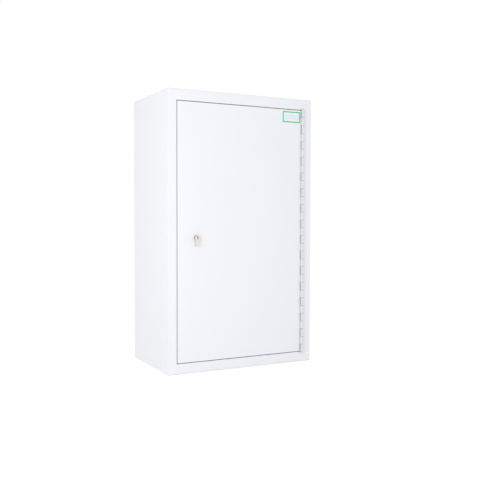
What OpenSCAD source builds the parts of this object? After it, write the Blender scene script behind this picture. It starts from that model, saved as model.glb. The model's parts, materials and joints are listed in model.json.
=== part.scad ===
// Lockable steel medicine cabinet: a folded and welded casing with a front frame, a pan door on a
// full-length piano hinge, a three-point lock worked by a profile half cylinder, and three shelves
// that rest on clips in slotted uprights.
// The origin is the centre of the underside. +Z is up, the door faces -Y and its hinge is at +X.

/* [Casing] */
// Outside width
casing_w = 500; // [460:10:600]
// Outside height
casing_h = 850; // [800:10:1000]
// Depth from the front frame to the back
casing_d = 300; // [260:10:360]
// Thickness of the folded sheet
sheet_t = 1.5; // [1.2:0.1:1.6]
// Outside radius of the casing's folds
fold_r = 3; // [2.5:0.5:4]
// Width of the front frame's two stiles
stile_w = 29.5; // [28:0.5:36]
// Widths of the front frame's bottom rail and top rail
rail_w = [31, 33];
// Depth that the frame turns back round the door
return_d = 10; // [8:1:12]
// Depth that the frame turns back under the hinge, and of the stops behind the door
reveal_d = 34; // [34:1:36]
// Width of the stop flange behind the door's edge
stop_w = 14; // [12:1:15]

/* [Wall fixing] */
// Distance between the fixing holes, side to side
fixing_pitch_x = 400; // [300:10:400]
// Distance between the fixing holes, top to bottom
fixing_pitch_z = 750; // [600:10:750]
// Radius of the fixing holes
fixing_r = 4.25; // [3:0.25:6]

/* [Door] */
// Gap between the door and the frame
door_gap = 2; // [1.5:0.25:2.5]
// Depth of the door pan
door_d = 30; // [30:0.5:30.5]
// Outside radius of the door's folds
door_fold_r = 2.5; // [2:0.5:3]
// Width of the lip round the back of the pan
door_lip = 15; // [12:1:18]
// Size of the label, width and height
label_size = [65, 35];
// Distance of the label from the door's hinge side and top edge
label_edge = [3.5, 6];

/* [Hinge] */
// Outside radius of the knuckles
knuckle_r = 4.5; // [4.5:0.1:4.8]
// Distance from the door's face out to the hinge's axis
hinge_proud = 5; // [4:0.5:5]
// Radius of the pin
pin_r = 2.4; // [2.2:0.1:2.4]
// Thickness of the leaves
leaf_t = 2; // [1.8:0.1:2]
// Number of knuckles
knuckle_n = 31; // [21:2:41]
// Number of rivets in each leaf
rivet_n = 8; // [4:1:12]

/* [Lock] */
// Distance from the lock's face plate to the cylinder's axis
backset = 60; // [60:1:65]
// Height of the cylinder's axis above the underside
lock_z = 408; // [380:1:440]
// How far the cylinder stands out of the door
cylinder_proud = 10; // [8:1:12]
// Travel of the bolt and of both rods
throw = 21; // [20:0.5:21]
// Section of the flat rods, width and thickness
rod_section = [16, 3];

/* [Shelves] */
// Row of slots that carries each shelf, counted from 0 at the bottom
shelf_rows = [6, 14, 22];
// Depth of a shelf's turned-down edge
shelf_edge = 20; // [18:1:24]
// Distance between slots in the uprights
slot_pitch = 25; // [20:5:50]

/* [Hidden] */
$fn = 48;
e = 0.01;

// Casing and opening
front_y = -casing_d / 2;
back_y = casing_d / 2;
open_x = casing_w / 2 - stile_w;
open_z = [rail_w[0], casing_h - rail_w[1]];
open_h = open_z[1] - open_z[0];
stop_y = front_y + reveal_d;
stop_back = stop_y + sheet_t;
stop_leg = reveal_d - 2.5;
inner_x = casing_w / 2 - sheet_t;
weld_gap = 0.1;

// Door
hinge_x = open_x - knuckle_r;
door_x = [-open_x + door_gap, hinge_x - knuckle_r];
door_z = [open_z[0] + door_gap, open_z[1] - door_gap];
skin_y = front_y + sheet_t;
door_back_y = front_y + door_d;

// Hinge
hinge_y = front_y - hinge_proud;
hinge_len = open_h - 1;
hinge_z = open_z[0] + 0.5;
knuckle_pitch = hinge_len / knuckle_n;
knuckle_gap = 0.4;
leaf_d = 24;
leaf_y0 = max(front_y, hinge_y + knuckle_r) + 0.4;
rivet_y = front_y + 14;
rivet_pitch = (hinge_len - 80) / (rivet_n - 1);
rivet_zs = [for (i = [0:rivet_n - 1]) hinge_z + 40 + i * rivet_pitch];

// Lock: the cylinder's axis, the middle plane of the mechanism and the case
forend_x = door_x[0] + sheet_t;
axis_x = forend_x + backset;
plug_r = 6.5;
cylinder_l = 40;
cylinder_y = front_y - cylinder_proud;
lock_y = cylinder_y + 30;
cam_w = 10;
case_t = 16;
case_x = [door_x[0] + 4.5, axis_x + 29.5];
case_z = [lock_z - 70.5, lock_z + 64.5];
case_y = [lock_y - case_t / 2, lock_y + case_t / 2];
forend_t = case_x[0] - forend_x;
forend_z = [case_z[0] - 20, case_z[1] + 20];
profile_fit = 0.25;
cam_reach = 15.3;
cam_z_gap = 9.5;
fixing_screw_z = lock_z - 21;
bolt_size = [12, 30];
bolt_z = casing_h / 2;
bolt_set_back = 3;
rod_set_back = 4;
plate_y = lock_y + 2.9;
plate_t = 2;
plate_x = [case_x[0] + throw + 0.5, axis_x + 23.5];
plate_z = [case_z[0] + 3.5, case_z[1] - 3.5];
notch_x = axis_x + throw / 2;
pin_size = 3;
slot_fit = 0.3;
rod_x = axis_x - 17.5;
rod_y = lock_y - 1;
upper_pin_z = lock_z + 32;
lower_pin_z = lock_z - 38;
stud_x = axis_x - 30.5;
stud_zs = [lock_z - 60, lock_z + 54];
pillar = [axis_x + 21.5, lock_z - 9];
guide_zs = [door_z[0] + 42, door_z[0] + 240, door_z[1] - 240, door_z[1] - 42];
guide_size = [30, 24.5, 16];
guide_screw_dx = 11.6;

// Shelves, uprights and clips
upright_size = [8, 20];
upright_t = 1.2;
upright_z = [20, casing_h - 20];
upright_ys = [front_y + 80, back_y - 45];
slot_size = [13, 3.2];
slot_z0 = 45;
clip_w = 11;
clip_top = 2.8;
shelf_z = [for (row = shelf_rows) slot_z0 + row * slot_pitch + clip_top + shelf_edge];
shelf_t = 1;
shelf_x = inner_x - upright_size[0] - 1.5;
shelf_y = [front_y + 45, back_y - 12];
shelf_return = 12;

// Box between two corners
module box(low, high) {
    translate(low) cube(high - low);
}

// Rectangle with round corners, centred
module rounded_rect(w, h, r) {
    square([w - 2 * r, h], center = true);
    square([w, h - 2 * r], center = true);
    for (sx = [-1, 1], sz = [-1, 1])
        translate([sx * (w / 2 - r), sz * (h / 2 - r)]) circle(r);
}

// Block whose side edges and front edges are round with radius r, open-ended towards +Y
module folded_block(low, high, r) {
    size = high - low;
    mid = (low + high) / 2;
    intersection() {
        translate([mid[0], high[1], mid[2]]) rotate([90, 0, 0])
            linear_extrude(size[1]) rounded_rect(size[0], size[2], r);
        translate([mid[0], mid[1] + r, low[2]])
            linear_extrude(size[2]) rounded_rect(size[0], size[1] + 2 * r, r);
        translate([low[0], mid[1] + r, mid[2]]) rotate([90, 0, 90])
            linear_extrude(size[0]) rounded_rect(size[1] + 2 * r, size[2], r);
    }
}

// Bar that cuts a round of radius r along an edge on the Z axis, its waste towards +X and +Y
module round_cutter(length, r) {
    linear_extrude(length) difference() {
        translate([-e, -e]) square(r + e);
        translate([r, r]) circle(r);
    }
}

// Cylinder along X, from x0 to x1
module rod_along_x(x0, x1, r, r1) {
    translate([x0, 0, 0]) rotate([0, 90, 0]) cylinder(h = x1 - x0, r1 = r, r2 = is_undef(r1) ? r : r1);
}

// Cylinder along Y, from y0 to y1
module rod_along_y(y0, y1, r, r1) {
    translate([0, y0, 0]) rotate([-90, 0, 0]) cylinder(h = y1 - y0, r1 = r, r2 = is_undef(r1) ? r : r1);
}

// The children at each rivet along a hinge leaf
module at_rivets(x) {
    for (z = rivet_zs) translate([x, rivet_y, z]) children();
}

// Passage for the bolt through the frame, its stop and the strike plate
module bolt_passage(x0, x1) {
    box([x0, lock_y - bolt_size[0] / 2 - 1, bolt_z - bolt_size[1] / 2 - 1],
        [x1, lock_y + bolt_size[0] / 2 + 1, bolt_z + bolt_size[1] / 2 + 1]);
}

// Passage for a rod through a rail or the door's end
module rod_passage(z0, z1) {
    half = rod_section / 2;
    box([rod_x - half[0] - 1, rod_y - half[1] - 1, z0], [rod_x + half[0] + 1, rod_y + half[1] + 1, z1]);
}

// Folded casing with its front frame, turned back round the door and further back under the hinge
module casing_shell() {
    difference() {
        union() {
            difference() {
                folded_block([-casing_w / 2, front_y, 0], [casing_w / 2, back_y, casing_h], fold_r);
                folded_block([-inner_x, skin_y, sheet_t], [inner_x, back_y + 1, casing_h - sheet_t],
                    fold_r - sheet_t);
            }
            box([-open_x - sheet_t, front_y + e, open_z[0] - sheet_t],
                [open_x + sheet_t, front_y + return_d, open_z[1] + sheet_t]);
            box([open_x, front_y + e, open_z[0]], [open_x + sheet_t, stop_y, open_z[1]]);
        }
        box([-open_x, front_y - 1, open_z[0]], [open_x, stop_y + 1, open_z[1]]);
        at_rivets(open_x) rod_along_x(-1, sheet_t + 1, 2.1);
    }
}

// One panel of the casing, mitred at its two corners, from a to b anticlockwise in front view.
// Each corner is given by its side, -1 or 1, and its end, 0 below or 1 above. The child rounds its edge
module casing_panel(a, b) {
    outer = [for (c = [a, b]) [c[0] * casing_w / 2, c[1] * casing_h]];
    inner = [for (c = [a, b]) [c[0] * open_x, open_z[c[1]]]];
    knee = [for (i = [0, 1]) inner[i] + [sign(outer[i][0]), outer[i][1] > 0 ? 1 : -1] * 12];
    reach = [for (i = [0, 1]) outer[i] + (outer[i] - knee[i]) * 0.2];
    color("white") difference() {
        intersection() {
            casing_shell();
            translate([0, back_y + 1, 0]) rotate([90, 0, 0]) linear_extrude(casing_d + 2)
                polygon([reach[0], reach[1], knee[1], inner[1], inner[0], knee[0]]);
        }
        children();
    }
}

// Rounds along the front edges of the opening: a stile's on side -1 or 1, and the rail's at end 0 or 1
module stile_round(side) {
    translate([side * open_x, front_y, open_z[0] - 5]) mirror([side > 0 ? 0 : 1, 0, 0])
        round_cutter(open_h + 10, 2);
}

module rail_round(end) {
    translate([-open_x - 5, front_y, open_z[end]]) mirror([0, 0, end]) rotate([0, 90, 0])
        round_cutter(2 * open_x + 10, 2);
}

// Back sheet with a welded lip all round and the four wall fixing holes
module back_panel() {
    x = inner_x - weld_gap;
    z0 = sheet_t + weld_gap;
    r = fold_r - sheet_t;
    color("white") difference() {
        translate([0, back_y, casing_h / 2]) rotate([90, 0, 0])
            linear_extrude(12) rounded_rect(2 * x, casing_h - 2 * z0, r);
        box([-x + sheet_t, front_y, z0 + sheet_t], [x - sheet_t, back_y - sheet_t, casing_h - z0 - sheet_t]);
        at_fixings() rod_along_y(back_y - 5, back_y + 1, fixing_r);
    }
}

module at_fixings() {
    for (sx = [-1, 1], sz = [-1, 1])
        translate([sx * fixing_pitch_x / 2, 0, casing_h / 2 + sz * fixing_pitch_z / 2]) children();
}

// Doubler plates welded inside the back at the fixing holes
module wall_fixing_plates() {
    plate = 50;
    plate_thick = 3;
    y = back_y - sheet_t;
    color("white") at_fixings() difference() {
        translate([0, y, 0]) rotate([90, 0, 0]) linear_extrude(plate_thick) rounded_rect(plate, plate, 4);
        rod_along_y(y - plate_thick - 1, y + 1, fixing_r);
    }
}

// Section of a folded angle: one leg along +Y and one along +X from a round corner at the origin
module angle_section(leg_y, leg_x, t) {
    r = t + 0.8;
    translate([0, r]) square([t, leg_y - r]);
    translate([r, 0]) square([leg_x - r, t]);
    intersection() {
        translate([r, r]) difference() {
            circle(r);
            circle(r - t);
        }
        square(r);
    }
}

// Angle strips welded behind the frame's return, which stop the door and take the bolt and rods
module stop_lock_side() {
    color("white") difference() {
        translate([-open_x - 2 * sheet_t, stop_back, open_z[0]]) mirror([0, 1, 0])
            linear_extrude(open_h) angle_section(stop_leg, stop_w + 2 * sheet_t, sheet_t);
        bolt_passage(-open_x - 4 * sheet_t, -open_x - sheet_t / 2);
    }
}

module stop_rail(side) {
    z = open_z[side];
    x = [-open_x - sheet_t, open_x];
    color("white") translate([0, 0, z]) mirror([0, 0, side]) difference() {
        translate([x[0], stop_back, -2 * sheet_t]) mirror([0, 1, 0]) rotate([90, 0, 90])
            linear_extrude(x[1] - x[0]) angle_section(stop_w + 2 * sheet_t, stop_leg, sheet_t);
        box([x[0] - 1, stop_y - 1, 0], [-open_x + stop_w, stop_back + 1, stop_w + 1]);
        rod_passage(-3 * sheet_t, 0);
    }
}

module strike_plate() {
    x1 = -open_x - 2 * sheet_t;
    color("silver") difference() {
        box([x1 - 3, lock_y - 13, bolt_z - 40], [x1, lock_y + 12, bolt_z + 40]);
        bolt_passage(x1 - 4, x1 + 1);
    }
}

// Rubber buffers on the stop flanges
module door_buffers() {
    mid = stop_w / 2;
    spots = [[-open_x + mid, 150], [-open_x + mid, casing_h - 150],
        [open_x / 2, open_z[1] - mid], [open_x / 2, open_z[0] + mid]];
    color("dimgray") for (s = spots) translate([s[0], 0, s[1]])
        rod_along_y(door_back_y + 0.4, stop_y, 4.2, 5);
}

// Slotted channel that carries the shelf clips. side is -1 at the left wall and 1 at the right
module upright(side, y) {
    slots = floor((upright_z[1] - 2 * slot_z0 + upright_z[0]) / slot_pitch);
    color("white") translate([side * inner_x, y, 0]) mirror([side > 0 ? 1 : 0, 0, 0]) difference() {
        translate([0, 0, upright_z[0]]) linear_extrude(upright_z[1] - upright_z[0]) difference() {
            rounded_rect(2 * upright_size[0], upright_size[1], 2);
            rounded_rect(2 * (upright_size[0] - upright_t), upright_size[1] - 2 * upright_t, 2 - upright_t);
            translate([-upright_size[0], -upright_size[1]]) square([upright_size[0], 2 * upright_size[1]]);
        }
        for (i = [0:slots])
            translate([upright_size[0] - 2 * upright_t, -slot_size[0] / 2, slot_z0 + i * slot_pitch])
            cube([3 * upright_t, slot_size[0], slot_size[1]]);
    }
}

// Four clips at the slots under a shelf whose top is at z
module clips(z) {
    slot_z = z - shelf_edge - clip_top;
    outline = [[-4.5, clip_top], [14, clip_top], [14, 1.2], [3, -9], [0.1, -9], [0.1, 0.2],
        [-2.1, 0.2], [-2.1, -4], [-4.5, -4]];
    color("silver") for (side = [-1, 1], y = upright_ys)
        translate([side * (inner_x - upright_size[0]), y, slot_z])
        mirror([side > 0 ? 1 : 0, 0, 0])
        translate([0, clip_w / 2, 0]) rotate([90, 0, 0]) linear_extrude(clip_w) polygon(outline);
}

// Shelf folded down on all sides and returned under
module shelf(z) {
    low = z - shelf_edge;
    inner = [shelf_x - shelf_t, shelf_t];
    hole = [shelf_x - shelf_return, shelf_return];
    color("white") difference() {
        folded_shelf_block(low, z);
        box([-inner[0], shelf_y[0] + inner[1], low + shelf_t],
            [inner[0], shelf_y[1] - inner[1], z - shelf_t]);
        box([-hole[0], shelf_y[0] + hole[1], low - 1], [hole[0], shelf_y[1] - hole[1], z - shelf_t]);
    }
}

module folded_shelf_block(low, high) {
    r = 1.5;
    translate([-shelf_x, 0, 0]) rotate([90, 0, 90]) linear_extrude(2 * shelf_x)
        translate([(shelf_y[0] + shelf_y[1]) / 2, (low + high) / 2])
        rounded_rect(shelf_y[1] - shelf_y[0], high - low, r);
}

// Section of one knuckle, rolled from the leaf round the pin; the leaf is on the side given
module knuckle_section(side) {
    difference() {
        union() {
            circle(knuckle_r);
            mirror([side > 0 ? 0 : 1, 0]) translate([knuckle_r - leaf_t, 0])
                square([leaf_t, leaf_y0 - hinge_y + 1]);
        }
        circle(pin_r + 0.05);
        mirror([side > 0 ? 0 : 1, 0]) rotate(66) translate([pin_r - 0.1, -0.15])
            square([knuckle_r - pin_r + 0.3, 0.3]);
    }
}

// Leaf with every second knuckle, starting from the one numbered first; x0 is its face on the sheet
module hinge_leaf(first, x0, z0, z1) {
    side = sign(x0 - hinge_x);
    xs = [min(x0, x0 - side * leaf_t), max(x0, x0 - side * leaf_t)];
    color("silver") difference() {
        union() {
            box([xs[0], leaf_y0, z0], [xs[1], front_y + leaf_d, z1]);
            for (i = [first:2:knuckle_n - 1])
                translate([hinge_x, hinge_y, hinge_z + i * knuckle_pitch + knuckle_gap / 2])
                linear_extrude(knuckle_pitch - knuckle_gap) knuckle_section(side);
        }
        at_rivets(x0) mirror([side > 0 ? 0 : 1, 0, 0]) rod_along_x(-leaf_t - e, e, 3.6, 2.1);
    }
}

module hinge_pin() {
    color("silver") translate([hinge_x, hinge_y, hinge_z]) cylinder(h = hinge_len, r = pin_r);
}

// Countersunk rivets through a leaf and the sheet behind it; they point along +X for side 1
module hinge_rivets(x0, side) {
    color("silver") at_rivets(x0) mirror([side > 0 ? 0 : 1, 0, 0]) {
        rod_along_x(-leaf_t + 0.1, -0.02, 3.4, 2.05);
        rod_along_x(-0.1, sheet_t + 1.5, 1.95);
        rod_along_x(sheet_t + 0.05, sheet_t + 1.6, 3, 2.4);
    }
}

// Door pan: skin, four returned edges and a lip round the back
module door_panel() {
    low = [door_x[0], front_y, door_z[0]];
    high = [door_x[1], door_back_y, door_z[1]];
    wall = [sheet_t, sheet_t, sheet_t];
    lip = [door_lip, 0, door_lip];
    color("white") difference() {
        folded_block(low, high, door_fold_r);
        folded_block(low + wall, high - wall, door_fold_r - sheet_t);
        box([low[0], high[1] - 2 * sheet_t, low[2]] + lip, [high[0], high[1] + 1, high[2]] - lip);
        cylinder_profile_at(front_y - 1, skin_y + 1, profile_fit);
        box([low[0] - 1, lock_y - bolt_size[0] / 2 - 0.5, bolt_z - bolt_size[1] / 2 - 0.5],
            [low[0] + 3, lock_y + bolt_size[0] / 2 + 0.5, bolt_z + bolt_size[1] / 2 + 0.5]);
        translate([low[0], lock_y, fixing_screw_z]) rod_along_x(-1, 3, 5);
        at_forend_screws() rod_along_x(-e, sheet_t + e, 3.75, 2.25);
        rod_passage(low[2] - 1, low[2] + 3);
        rod_passage(high[2] - 3, high[2] + 1);
        at_rivets(high[0]) rod_along_x(-sheet_t - 1, 1, 2.1);
    }
}

// Top-hat stiffener welded to the inside of the skin
module door_stiffener() {
    x = 30;
    web = 25;
    flange = 15;
    depth = 17;
    t = 1;
    outline = [[-web - flange, 0], [-web, 0], [-web, depth - t], [web, depth - t], [web, 0],
        [web + flange, 0], [web + flange, t], [web + t, t], [web + t, depth], [-web - t, depth],
        [-web - t, t], [-web - flange, t]];
    color("white") translate([x, skin_y, door_z[0] + 25])
        linear_extrude(door_z[1] - door_z[0] - 50) polygon(outline);
}

module label() {
    x1 = door_x[1] - label_edge[0];
    z1 = door_z[1] - label_edge[1];
    color("mediumseagreen")
        box([x1 - label_size[0], front_y - 0.2, z1 - label_size[1]], [x1, front_y, z1]);
}

// Profile of the lock cylinder, grown by fit: a round of 17 mm over a 10 mm tail, 33 mm in all
module cylinder_profile(fit) {
    circle(8.5 + fit);
    translate([-5 - fit, -19.5]) square([10 + 2 * fit, 19.5]);
    translate([0, -19.5]) circle(5 + fit);
}

module cylinder_profile_at(y0, y1, fit) {
    translate([axis_x, y1, lock_z]) rotate([90, 0, 0]) linear_extrude(y1 - y0) cylinder_profile(fit);
}

module at_axis() {
    translate([axis_x, 0, lock_z]) children();
}

// Lock case: a shallow tray, open to the back, with the studs that guide the bolt plate
module lock_case() {
    floor_y = case_y[0] + sheet_t;
    rim_y = case_y[1] - sheet_t;
    color("silver") difference() {
        union() {
            difference() {
                box([case_x[0], case_y[0], case_z[0]], [case_x[1], rim_y, case_z[1]]);
                box([case_x[0] - 1, floor_y, case_z[0] + sheet_t],
                    [case_x[1] - sheet_t, rim_y + 1, case_z[1] - sheet_t]);
            }
            for (z = stud_zs) translate([stud_x, 0, z]) rod_along_y(floor_y - e, rim_y, 3);
            translate([pillar[0], 0, pillar[1]]) rod_along_y(floor_y - e, rim_y, 4);
        }
        cylinder_profile_at(case_y[0] - 1, floor_y + 1, profile_fit);
        rod_notch(case_z[0] - 1, case_z[0] + 3, rim_y + 1);
        rod_notch(case_z[1] - 3, case_z[1] + 1, rim_y + 1);
        at_cover_screws() rod_along_y(rim_y - 8, rim_y + 1, 1.55);
        translate([case_x[1], lock_y, lock_z]) rod_along_x(-3, 1, 2.05);
    }
}

// Notch in the tray's end, in which a rod is laid before the cover goes on
module rod_notch(z0, z1, y1) {
    half = rod_section / 2;
    box([rod_x - half[0] - 2, rod_y - half[1] - 2, z0], [rod_x + half[0] + 2, y1, z1]);
}

module at_cover_screws() {
    for (z = stud_zs) translate([stud_x, 0, z]) children();
    translate([pillar[0], 0, pillar[1]]) children();
}

module lock_cover() {
    color("silver") difference() {
        box([case_x[0], case_y[1] - sheet_t, case_z[0]], [case_x[1], case_y[1], case_z[1]]);
        cylinder_profile_at(case_y[1] - sheet_t - 1, case_y[1] + 1, profile_fit);
        at_cover_screws() rod_along_y(case_y[1] - sheet_t - e, case_y[1] + e, 1.6, 3.1);
    }
}

module lock_cover_screws() {
    color("silver") at_cover_screws() {
        rod_along_y(case_y[1] - sheet_t + 0.05, case_y[1], 1.55, 3);
        rod_along_y(case_y[1] - 8, case_y[1] - sheet_t + 0.1, 1.5);
    }
}

// Face plate of the lock, inside the door's edge
module lock_forend() {
    color("silver") difference() {
        box([forend_x, case_y[0], forend_z[0]], [case_x[0], case_y[1], forend_z[1]]);
        box([forend_x - 1, lock_y - bolt_size[0] / 2 - 0.3, bolt_z - bolt_size[1] / 2 - 0.3],
            [case_x[0] + 1, lock_y + bolt_size[0] / 2 + 0.3, bolt_z + bolt_size[1] / 2 + 0.3]);
        translate([forend_x, lock_y, fixing_screw_z]) {
            rod_along_x(-e, 2, 4.6, 2.6);
            rod_along_x(0, forend_t + 1, 2.6);
        }
        at_forend_screws() rod_along_x(0, sheet_t + forend_t + 1, 2.05);
    }
}

module at_forend_screws() {
    for (z = [forend_z[0] + 10, forend_z[1] - 10]) translate([door_x[0], lock_y, z]) children();
}

module forend_screws() {
    color("silver") at_forend_screws() {
        rod_along_x(0.02, sheet_t, 3.7, 2.2);
        rod_along_x(sheet_t - 0.1, 9, 2);
    }
}

// Angle that carries the inner end of the lock case
module lock_bracket() {
    z = [lock_z - 20, lock_z + 20];
    color("white") difference() {
        translate([case_x[1], skin_y, z[0]]) linear_extrude(z[1] - z[0])
            angle_section(case_y[1] - 2 - skin_y, 18, sheet_t);
        translate([case_x[1], lock_y, lock_z]) rod_along_x(-1, sheet_t + 1, 2.1);
    }
}

module lock_bracket_screw() {
    color("silver") translate([case_x[1], lock_y, lock_z]) {
        rod_along_x(-5, sheet_t + 0.1, 2);
        rod_along_x(sheet_t, sheet_t + 2.4, 3.8, 3.2);
    }
}

// Profile half cylinder: bored for the plug and slotted for the cam
module cylinder_body() {
    inner_y = cylinder_y + cylinder_l;
    color("silver") difference() {
        cylinder_profile_at(cylinder_y, inner_y, 0);
        at_axis() rod_along_y(cylinder_y - 1, inner_y + 1, plug_r + 0.05);
        box([axis_x - 9, lock_y - cam_w / 2, lock_z - cam_reach - 0.5],
            [axis_x + 9, lock_y + cam_w / 2, lock_z + 9]);
        translate([axis_x, lock_y, fixing_screw_z]) rod_along_x(-6, 6, 2.55);
    }
}

// Plug with its keyway
module cylinder_plug() {
    keyway = [[-1.1, 4.6], [1.1, 4.6], [1.1, 2.2], [0.4, 1.2], [0.4, -1.2], [1.3, -2.2], [1.3, -7],
        [-1.3, -7], [-1.3, -3.4], [-0.5, -2.6], [-0.5, 0], [-1.1, 0.8]];
    color("goldenrod") difference() {
        at_axis() rod_along_y(cylinder_y, cylinder_y + cylinder_l, plug_r);
        translate([axis_x, cylinder_y + 24, lock_z]) rotate([90, 0, 0]) linear_extrude(25) polygon(keyway);
    }
}

// Cam ring with the finger that throws the bolt; at rest the finger points up and towards the hinge
module cylinder_cam() {
    w = cam_w - 0.6;
    finger_w = 8;
    color("silver") translate([axis_x, lock_y + w / 2, lock_z]) rotate([90, 0, 0]) linear_extrude(w)
        difference() {
            union() {
                circle(8);
                rotate(-45) intersection() {
                    translate([-finger_w / 2, 0]) square([finger_w, 20]);
                    circle(cam_reach);
                }
            }
            circle(plug_r + 0.02);
        }
}

module cylinder_screw() {
    color("silver") translate([forend_x, lock_y, fixing_screw_z]) {
        rod_along_x(0.1, 2, 4.35, 2.55);
        rod_along_x(1.5, axis_x - forend_x + 4, 2.5);
    }
}

// Bolt head, slotted and pinned over the edge of the bolt plate
module bolt_head() {
    x = [door_x[0] + bolt_set_back, plate_x[0] + 9.5];
    y = [lock_y - bolt_size[0] / 2, lock_y + bolt_size[0] / 2];
    z = [bolt_z - bolt_size[1] / 2, bolt_z + bolt_size[1] / 2];
    color("silver") {
        difference() {
            translate([0, y[1], 0]) rotate([90, 0, 0]) linear_extrude(bolt_size[0])
                polygon([[x[0], z[0] + 2], [x[0] + 2, z[0]], [x[1], z[0]], [x[1], z[1]], [x[0] + 2, z[1]],
                    [x[0], z[1] - 2]]);
            box([plate_x[0], plate_y - 0.02, z[0] - 1], [x[1] + 1, plate_y + plate_t + 0.02, z[1] + 1]);
        }
        at_bolt_rivets() rod_along_y(plate_y - 1, plate_y + plate_t + 1, 2);
    }
}

module at_bolt_rivets() {
    for (dz = [-8, 8]) translate([plate_x[0] + 5, 0, bolt_z + dz]) children();
}

// Bolt plate: the cam's notch, two guide slots and a sloping slot for each rod's pin
module bolt_plate() {
    spine_x = axis_x - 9.5;
    arm_z = [fixing_screw_z - 6, lock_z + cam_z_gap];
    color("silver") translate([0, plate_y + plate_t, 0]) rotate([90, 0, 0]) linear_extrude(plate_t)
        difference() {
            translate([plate_x[0], plate_z[0]])
                square([plate_x[1] - plate_x[0], plate_z[1] - plate_z[0]]);
            translate([spine_x, arm_z[0]]) square([60, arm_z[1] - arm_z[0]]);
            translate([axis_x + 9, 0]) square([60, arm_z[0] + 1]);
            translate([notch_x, arm_z[1] - 1])
                polygon([[-7.6, 0], [7.6, 0], [7.3, 1], [4.6, 7.2], [-4.6, 7.2], [-7.3, 1]]);
            for (z = stud_zs) slot_between([stud_x, z], [stud_x + throw, z], 3 + slot_fit);
            slot_between([rod_x, upper_pin_z], [rod_x + throw, upper_pin_z + throw], pin_size + slot_fit);
            slot_between([rod_x, lower_pin_z], [rod_x + throw, lower_pin_z - throw], pin_size + slot_fit);
            for (dz = [-8, 8]) translate([plate_x[0] + 5, bolt_z + dz]) circle(2.03);
        }
}

// Slot with round ends between two points
module slot_between(a, b, r) {
    run = b - a;
    translate(a) rotate(atan2(run[1], run[0])) {
        circle(r);
        translate([0, -r]) square([norm(run), 2 * r]);
        translate([norm(run), 0]) circle(r);
    }
}

// Flat rod from its end in the case to its end at the rail, with the pin that the bolt plate drives
module lock_rod(pin_z, end_z, tail_z) {
    half = rod_section / 2;
    length = abs(end_z - tail_z);
    color("silver") {
        translate([rod_x, rod_y + half[1], tail_z]) mirror([0, 0, end_z < tail_z ? 1 : 0])
            rotate([90, 0, 0]) linear_extrude(rod_section[1])
            polygon([[-half[0], 0], [half[0], 0], [half[0], length - 5], [half[0] - 3, length],
                [3 - half[0], length], [-half[0], length - 5]]);
        translate([rod_x, 0, pin_z]) rod_along_y(rod_y, plate_y + plate_t + 0.6, pin_size);
    }
}

// Blocks screwed to the skin's welded studs, which guide the rods
module rod_guides() {
    half = guide_size / 2;
    color("dimgray") for (z = guide_zs) difference() {
        translate([rod_x, skin_y + guide_size[1], z]) rotate([90, 0, 0])
            linear_extrude(guide_size[1]) rounded_rect(guide_size[0], guide_size[2], 3);
        box([rod_x - rod_section[0] / 2 - 0.35, rod_y - rod_section[1] / 2 - 0.35, z - half[2] - 1],
            [rod_x + rod_section[0] / 2 + 0.35, rod_y + rod_section[1] / 2 + 0.35, z + half[2] + 1]);
        for (sx = [-1, 1]) translate([rod_x + sx * guide_screw_dx, 0, z])
            rod_along_y(skin_y - 1, skin_y + guide_size[1] + 1, 1.8);
    }
}

module rod_guide_screws() {
    top = skin_y + guide_size[1];
    color("silver") for (z = guide_zs, sx = [-1, 1]) translate([rod_x + sx * guide_screw_dx, 0, z]) {
        rod_along_y(skin_y, top + 0.1, 1.75);
        rod_along_y(top, top + 2, 3.3, 2.9);
    }
}

casing_panel([-1, 1], [-1, 0]) stile_round(-1);  // casing_left
casing_panel([1, 0], [1, 1]) stile_round(1);  // casing_right
casing_panel([1, 1], [-1, 1]) rail_round(1);  // casing_top
casing_panel([-1, 0], [1, 0]) rail_round(0);  // casing_bottom
back_panel();
wall_fixing_plates();
stop_lock_side();
stop_rail(1);  // stop_top
stop_rail(0);  // stop_bottom
strike_plate();
door_buffers();
upright(-1, upright_ys[0]);  // upright_front_left
upright(-1, upright_ys[1]);  // upright_rear_left
upright(1, upright_ys[0]);  // upright_front_right
upright(1, upright_ys[1]);  // upright_rear_right
shelf(shelf_z[0]);  // shelf_lower
shelf(shelf_z[1]);  // shelf_middle
shelf(shelf_z[2]);  // shelf_upper
clips(shelf_z[0]);  // clips_lower
clips(shelf_z[1]);  // clips_middle
clips(shelf_z[2]);  // clips_upper
hinge_leaf(0, open_x, hinge_z, hinge_z + hinge_len);  // hinge_frame_leaf
hinge_leaf(1, door_x[1], door_z[0], door_z[1]);  // hinge_door_leaf
hinge_pin();
hinge_rivets(open_x, 1);  // hinge_rivets_frame
hinge_rivets(door_x[1], -1);  // hinge_rivets_door
door_panel();
door_stiffener();
label();
lock_case();
lock_cover();
lock_cover_screws();
lock_forend();
forend_screws();
lock_bracket();
lock_bracket_screw();
cylinder_body();
cylinder_plug();
cylinder_cam();
cylinder_screw();
bolt_head();
bolt_plate();
lock_rod(upper_pin_z, door_z[1] - rod_set_back, upper_pin_z - 10);  // upper_rod
lock_rod(lower_pin_z, door_z[0] + rod_set_back, lower_pin_z + 10);  // lower_rod
rod_guides();
rod_guide_screws();
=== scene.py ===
"""Looks of a lockable sheet steel medicine cabinet: coat, plating, lock, label, screws and studio."""

import json
import math

import bmesh
import bpy
import numpy as np
from bpy.props import FloatProperty, FloatVectorProperty, IntProperty, PointerProperty
from mathutils import Matrix, Vector


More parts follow.
